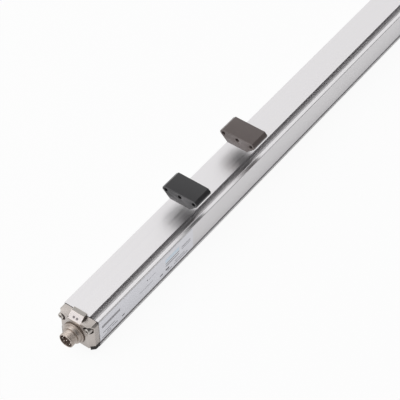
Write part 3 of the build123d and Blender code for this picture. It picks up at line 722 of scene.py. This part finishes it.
# %% Contact pins
pin_radius, pin_circle, pin_root = 0.5, 4.9, -86.0
tip = mouth + 1.0
pin_angle = np.pi / 2 + np.radians(45.0) * (np.arange(7) - 3)
pin_y = np.append(pin_circle * np.cos(pin_angle), 0.0)
pin_z = np.append(pin_circle * np.sin(pin_angle), 0.0) + axis_height
dome = np.linspace(0, np.pi / 2, 7)
pin_along = np.concatenate([tip + pin_radius * (1 - np.cos(dome)), [pin_root, pin_root]])
pin_reach = np.concatenate([pin_radius * np.sin(dome), [pin_radius, 0.0]])
pin_turn = np.linspace(0, 2 * np.pi, 20, endpoint=False)
shape = (len(pin_y), len(pin_along), len(pin_turn))
pin_points = np.stack([
    np.broadcast_to(pin_along[None, :, None], shape),
    pin_y[:, None, None] + pin_reach[None, :, None] * np.cos(pin_turn),
    pin_z[:, None, None] + pin_reach[None, :, None] * np.sin(pin_turn),
], axis=-1)
pins = new_piece("domed_contact_pins", pin_points, repeated_faces(pin_points), "pin_metal")
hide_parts("connector_pins")


# %% [markdown]
# ## Label on the side
# A thin plate is glued to the side of the rail, and plain bars and rules stand for its print. The
# plate could be a scaled cube, but its corners are round, so its outline is four quarter-circles,
# each set out from its own corner, and the rows of the grid carry that outline from the back to
# the front face.

# %% Label plate
def rounded_outline(length, height, corner, steps=7):
    """Outline of a rectangle with round corners: quarter-circles of the corner's radius round
    four centres that lie one radius inside the sides."""
    quarter = np.arange(4)[:, None]
    angle = quarter * np.pi / 2 + np.linspace(0, np.pi / 2, steps)
    side = np.where((quarter == 0) | (quarter == 3), 1, -1) * (length / 2 - corner)
    rise = np.where(quarter < 2, 1, -1) * (height / 2 - corner)
    places = np.stack([side + corner * np.cos(angle), rise + corner * np.sin(angle)], axis=-1)
    return places.reshape(-1, 2)


def side_plate(centre, size, corner, back, front):
    """Points of a thin plate on the rail's side, centred at (x, z). Its rows are the back's
    middle, the outline at the back and at the front, and the front's middle."""
    length, height = rounded_outline(*size, corner).T
    scale = np.array([0.0, 1.0, 1.0, 0.0])[:, None]
    depth = np.array([back, back, front, front])[:, None] + 0 * length
    return np.stack([centre[0] + scale * length, depth, centre[1] + scale * height], axis=-1)


label_start, label_end, label_low, label_high = -83.4, 62.0, 7.9, 35.4
label_centre = ((label_start + label_end) / 2, (label_low + label_high) / 2)
label_size = (label_end - label_start, label_high - label_low)
label_corner, label_back, label_front = 1.2, -20.6, -20.78
new_finish(
    "label_foil", grain, {"Scale": 3000.0, "Patches": 60.0},
    (screen(229, 229, 235), screen(235, 235, 240)), (0.35, 0.45), 0.000004, Metallic=1.0,
)
label = side_plate(label_centre, label_size, label_corner, label_back, label_front)
label_faces = grid_faces(*label.shape[:2])
new_piece("side_label", label, label_faces, "white_plastic", material=finishes["label_foil"])

# %% [markdown]
# ### Bars and rules on the label
# Print could be an image laid on the plate. Bars that stand just proud of it need no image, are
# part of the mesh, and are a plain table of places and sizes.

# %% Bars and rules on the label
# Each row is a bar: its middle along X, its middle height, its length and its height.
grey_bars = np.array([(-66.5, 25.0, 27.0, 3.6)])
dark_bars = np.array([
    (28.7, 22.6, 22.0, 0.9), (-70.0, 16.0, 18.0, 0.8), (-61.5, 12.6, 9.0, 0.8),
    (-70.5, 12.6, 6.0, 0.8), (-74.0, 9.9, 14.0, 0.7), (-48.6, 12.4, 4.0, 1.6),
    (-10.7, 26.4, 1.4, 1.4), (-3.0, 25.9, 12.0, 0.4), (-13.0, 18.5, 21.0, 0.5),
    (11.0, 13.1, 4.4, 1.6), (28.5, 19.4, 21.0, 1.0), (20.4, 14.0, 5.6, 2.2),
    (50.5, 24.2, 14.0, 0.9), (50.5, 21.6, 14.0, 0.7), (40.0, 14.2, 16.0, 0.7),
    (42.0, 11.2, 22.0, 0.7), (24.0, 10.8, 8.0, 0.7),
])
blue_bars = np.array([(28.7, 26.6, 22.0, 5.0)])
bar_corner, bar_back, bar_front = 0.2, -20.76, -20.795


def printed_bars(name, bars, material):
    """Thin printed bars on the label: the outline of one plate for each row, all in one mesh."""
    plates = np.stack([
        side_plate(bar[:2], bar[2:], bar_corner, bar_back, bar_front) for bar in bars
    ])
    return new_piece(name, plates, repeated_faces(plates), "black_plastic", material=material)


new_finish(
    "grey_print", grain, {"Scale": 3000.0, "Patches": 500.0},
    (screen(188, 186, 191), screen(198, 196, 201)), (0.4, 0.5), 0.000002,
)
new_finish(
    "dark_print", grain, {"Scale": 3000.0, "Patches": 500.0},
    (screen(108, 106, 112), screen(124, 122, 128)), (0.4, 0.5), 0.000002,
)
new_finish(
    "blue_print", grain, {"Scale": 3000.0, "Patches": 500.0},
    (screen(214, 226, 237), screen(221, 232, 242)), (0.4, 0.5), 0.000002, Metallic=1.0,
)
printed_bars("label_grey_bars", grey_bars, finishes["grey_print"])
printed_bars("label_dark_bars", dark_bars, finishes["dark_print"])
printed_bars("label_blue_bars", blue_bars, finishes["blue_print"])

# %% [markdown]
# ## Feet of the cap's seal
# The black seal shows as a dark foot round the cap's lower corners. Each foot is a flat strip: a
# small section of height against distance from the cap, carried along the corner's outline. At
# both ends the section shrinks to its middle, which closes the strip. The second foot is the first
# one mirrored across the rail.

# %% Feet of the cap's seal
foot_line = np.array([
    (-94.0, -17.05), (-94.0, -17.05), (-90.55, -20.5),
    (-90.1, -20.65), (-84.6, -20.65), (-84.6, -20.65),
])
slant = -0.707
foot_out = np.array([(slant, slant)] * 3 + [(0, -1)] * 3)
foot_section = np.array([
    (-1.2, 2.8), (0.08, 2.8), (0.28, 3.1), (0.28, 7.3), (0.08, 7.6), (-1.2, 7.6),
])
foot_fill = np.array([0, 1, 1, 1, 1, 0])[:, None]
foot_middle = foot_section.mean(axis=0)
section_reach = foot_middle[0] + foot_fill * (foot_section[:, 0] - foot_middle[0])
section_height = foot_middle[1] + foot_fill * (foot_section[:, 1] - foot_middle[1])
foot_points = np.stack([
    foot_line[:, 0:1] + foot_out[:, 0:1] * section_reach,
    foot_line[:, 1:2] + foot_out[:, 1:2] * section_reach,
    section_height,
], axis=-1)
both_feet = np.stack([foot_points, foot_points * (1, -1, 1)])
new_piece("seal_feet", both_feet, repeated_faces(both_feet), "black_rubber")

# %% [markdown]
# ## Dot on the cap
# A small raised dot stands on the cap's bevelled corner, under the screw. It is a flattened
# half ball, laid on the bevel by the bevel's own directions: across it, straight up, and outwards.

# %% Dot on the cap
bevel_across = np.array([1.0, -1.0, 0.0]) / np.sqrt(2)
bevel_up = np.array([0.0, 0.0, 1.0])
bevel_out = np.array([-1.0, -1.0, 0.0]) / np.sqrt(2)
dot_place, dot_radius, dot_height = np.array([-91.96, -19.09, 26.6]), 0.5, 0.25
dot_rise = np.linspace(0, np.pi / 2, 6)[:, None]
dot_turn = np.linspace(0, 2 * np.pi, 20, endpoint=False)
dot_across = dot_radius * np.cos(dot_rise) * np.cos(dot_turn)
dot_up = dot_radius * np.cos(dot_rise) * np.sin(dot_turn)
dot_out = dot_height * np.sin(dot_rise) + 0 * dot_turn
dot_points = (
    dot_place + dot_across[..., None] * bevel_across
    + dot_up[..., None] * bevel_up + dot_out[..., None] * bevel_out
)
new_piece("cap_dot_mark", dot_points, grid_faces(*dot_across.shape), "cast_metal")

# %% [markdown]
# ## Roof of the hood
# The flat roof of the hood is rougher than the casting round it, and its darker, greyer colour is
# painted shade. A thin flat plate on it carries that finish. It is the label plate's formula again,
# with Y and Z exchanged.

# %% Roof of the hood
# The roof's colour is darker and greyer than the casting's: painted shade. Its higher roughness is
# the roof's own.
new_finish(
    "dull_and_shade_painted_casting", grain, {"Scale": 2600.0, "Patches": 160.0},
    (screen(162, 158, 154), screen(174, 170, 166)), (0.4, 0.5), 0.00003, Metallic=1.0,
)
roof_centre, roof_size, roof_corner = (-86.8, 0.0), (4.1, 14.5), 0.3
roof_low, roof_high = 40.6, 40.75
roof = side_plate(roof_centre, roof_size, roof_corner, roof_low, roof_high)[..., [0, 2, 1]]
roof_faces = grid_faces(*roof.shape[:2])
new_piece("hood_roof", roof, roof_faces, "cast_metal", material=finishes["dull_and_shade_painted_casting"])

# %% [markdown]
# ## Floor, backdrop and light
# The object stands on a plain white floor in soft light from all round, with one large lamp to the
# left that gives the forms a lit and a shaded side. White is not made with more light: the floor
# and the world show plain white to the camera, and only a small part of the floor's brightness is
# that of a lit surface, which leaves the object a faint shadow. Polished metal shows what stands
# round it, so the reflections matter as much as the lamp. The floor mirrors as light grey next to
# the rail and as white in front of the inlet, like a white card laid there. Within a few
# millimetres of the object its colour and what it mirrors are darkened: a painted contact shadow.

# %% Floor
floor_half, plain_share, contact_reach = 4.0, 0.94, 0.008
floor_mesh = bpy.data.meshes.new("floor")
floor_corners = np.array([(-1, -1, 0), (1, -1, 0), (1, 1, 0), (-1, 1, 0)]) * floor_half
floor_mesh.from_pydata(floor_corners, [], [(0, 1, 2, 3)])
floor = bpy.data.objects.new("floor", floor_mesh)
scene.collection.objects.link(floor)

floor_paint = bpy.data.materials.new("floor_paint")
floor_paint.use_nodes = True
tree = floor_paint.node_tree
tree.nodes.clear()
path = add_node(tree, "ShaderNodeLightPath")
seen = add_node(
    tree, "ShaderNodeMath", {1: plain_share}, {0: path.outputs["Is Camera Ray"]},
    operation="MULTIPLY",
)
floor_place = add_node(tree, "ShaderNodeTexCoord").outputs["Object"]
along_rail = add_node(tree, "ShaderNodeSeparateXYZ", links={"Vector": floor_place}).outputs["X"]
before_inlet = add_node(
    tree, "ShaderNodeMapRange",
    {"From Min": -0.085, "From Max": -0.115, "To Min": 0.6, "To Max": 1.0},
    {"Value": along_rail},
)
# Painted contact shadow: near the object the floor's colour and the brightness it mirrors are both
# darkened.
contact = add_node(tree, "ShaderNodeAmbientOcclusion", {"Distance": contact_reach}, samples=8)
painted_contact_shade = add_node(
    tree, "ShaderNodeMapRange", {"From Min": 0.45, "From Max": 0.95, "To Min": 0.1},
    {"Value": contact.outputs["AO"]},
).outputs["Result"]
card = add_node(
    tree, "ShaderNodeMath", operation="MULTIPLY",
    links={0: before_inlet.outputs["Result"], 1: painted_contact_shade},
)
mirrored = add_node(
    tree, "ShaderNodeMath", operation="MULTIPLY",
    links={0: path.outputs["Is Glossy Ray"], 1: card.outputs[0]},
)
share = add_node(
    tree, "ShaderNodeMath", operation="MAXIMUM",
    links={0: seen.outputs[0], 1: mirrored.outputs[0]},
)
# The floor's colour goes from dark next to the object to white further off: painted contact shadow.
paper = mix_colours(tree, painted_contact_shade, (0.1, 0.1, 0.1, 1.0), (0.9, 0.9, 0.9, 1.0))
lit = add_node(tree, "ShaderNodeBsdfDiffuse", links={"Color": paper})
plain = add_node(tree, "ShaderNodeEmission", {"Color": (1.0, 1.0, 1.0, 1.0), "Strength": 1.0})
mixed = add_node(
    tree, "ShaderNodeMixShader",
    links={0: share.outputs[0], 1: lit.outputs[0], 2: plain.outputs[0]},
)
add_node(tree, "ShaderNodeOutputMaterial", links={"Surface": mixed.outputs[0]})
floor_mesh.materials.append(floor_paint)
print("floor", 2 * floor_half, "m square")

# %% [markdown]
# ### A dark screen in the world
# In the photograph every inner corner that faces the near side is dark: the groove's wall, the
# hood's side and the cap's shoulders. They mirror a dark screen high on that side of the studio.
# A second lamp could never give this, because the corners are dark in a white surrounding. Here
# the world itself is darker round one direction, fading out towards the horizon, and is plain
# white where the camera sees it directly.

# %% World
screen_way, screen_light, ambient_light = (0.352, -0.755, 0.553), 0.14, 0.62
pure_white = (1.0, 1.0, 1.0, 1.0)
world = bpy.data.worlds.new("studio")
world.use_nodes = True
scene.world = world
tree = world.node_tree
tree.nodes.clear()
path = add_node(tree, "ShaderNodeLightPath")
way = add_node(tree, "ShaderNodeTexCoord").outputs["Generated"]
nearness = add_node(
    tree, "ShaderNodeVectorMath", {1: screen_way}, {0: way}, operation="DOT_PRODUCT"
)
near_screen = add_node(
    tree, "ShaderNodeMapRange", {"From Min": 0.45, "From Max": 0.8},
    {"Value": nearness.outputs["Value"]}, interpolation_type="SMOOTHSTEP",
)
height = add_node(tree, "ShaderNodeSeparateXYZ", links={"Vector": way}).outputs["Z"]
above_gap = add_node(
    tree, "ShaderNodeMapRange", {"From Min": 0.08, "From Max": 0.3}, {"Value": height},
    interpolation_type="SMOOTHSTEP",
)
screened = add_node(
    tree, "ShaderNodeMath", operation="MULTIPLY",
    links={0: near_screen.outputs["Result"], 1: above_gap.outputs["Result"]},
)
dark_side = add_node(
    tree, "ShaderNodeMapRange", {"To Min": 1.0, "To Max": screen_light},
    {"Value": screened.outputs[0]},
).outputs["Result"]
ambient = add_node(
    tree, "ShaderNodeMath", {1: ambient_light}, {0: dark_side}, operation="MULTIPLY"
)
soft = add_node(
    tree, "ShaderNodeBackground", {"Color": (0.98, 0.99, 1.0, 1.0)},
    {"Strength": ambient.outputs[0]},
)
studio = add_node(tree, "ShaderNodeBackground", {"Color": pure_white}, {"Strength": dark_side})
white = add_node(tree, "ShaderNodeBackground", {"Color": pure_white, "Strength": 1.0})
mirrored = add_node(
    tree, "ShaderNodeMixShader",
    links={0: path.outputs["Is Glossy Ray"], 1: soft.outputs[0], 2: studio.outputs[0]},
)
seen = add_node(
    tree, "ShaderNodeMath", operation="MAXIMUM",
    links={0: path.outputs["Is Camera Ray"], 1: path.outputs["Is Transmission Ray"]},
)
mixed = add_node(
    tree, "ShaderNodeMixShader",
    links={0: seen.outputs[0], 1: mirrored.outputs[0], 2: white.outputs[0]},
)
add_node(tree, "ShaderNodeOutputWorld", links={"Surface": mixed.outputs[0]})
print("world: white, with a dark screen high on the near side")

# %% [markdown]
# ### The lamp
# One square area lamp hangs to the left of the picture. It is about as large as its distance from
# the sensor, so its shadows end softly and its reflection runs smoothly along the metal. Like the
# camera it is placed by a matrix of three directions, and the last one points backwards, from what
# it lights to the lamp.

# %% Lamp
lamp_aim, lamp_distance = np.array([0.1, 0.0, 0.02]), 2.6
lamp_way = np.array([-0.55, 0.55, 0.75])
lamp_way = lamp_way / np.linalg.norm(lamp_way)
lamp_side = np.cross([0.0, 0.0, 1.0], lamp_way)
lamp_side = lamp_side / np.linalg.norm(lamp_side)
lamp = bpy.data.lights.new("large_lamp", "AREA")
lamp.shape = "SQUARE"
lamp.size = 2.8
lamp.energy = 34.0
lamp_object = bpy.data.objects.new("large_lamp", lamp)
lamp_axes = [lamp_side, np.cross(lamp_way, lamp_side), lamp_way]
lamp_object.matrix_world = Matrix(
    np.column_stack([*lamp_axes, lamp_aim + lamp_distance * lamp_way]).tolist() + [[0, 0, 0, 1]]
)
scene.collection.objects.link(lamp_object)
scene.view_settings.view_transform = "Standard"
print("lamp", lamp.energy, "W")
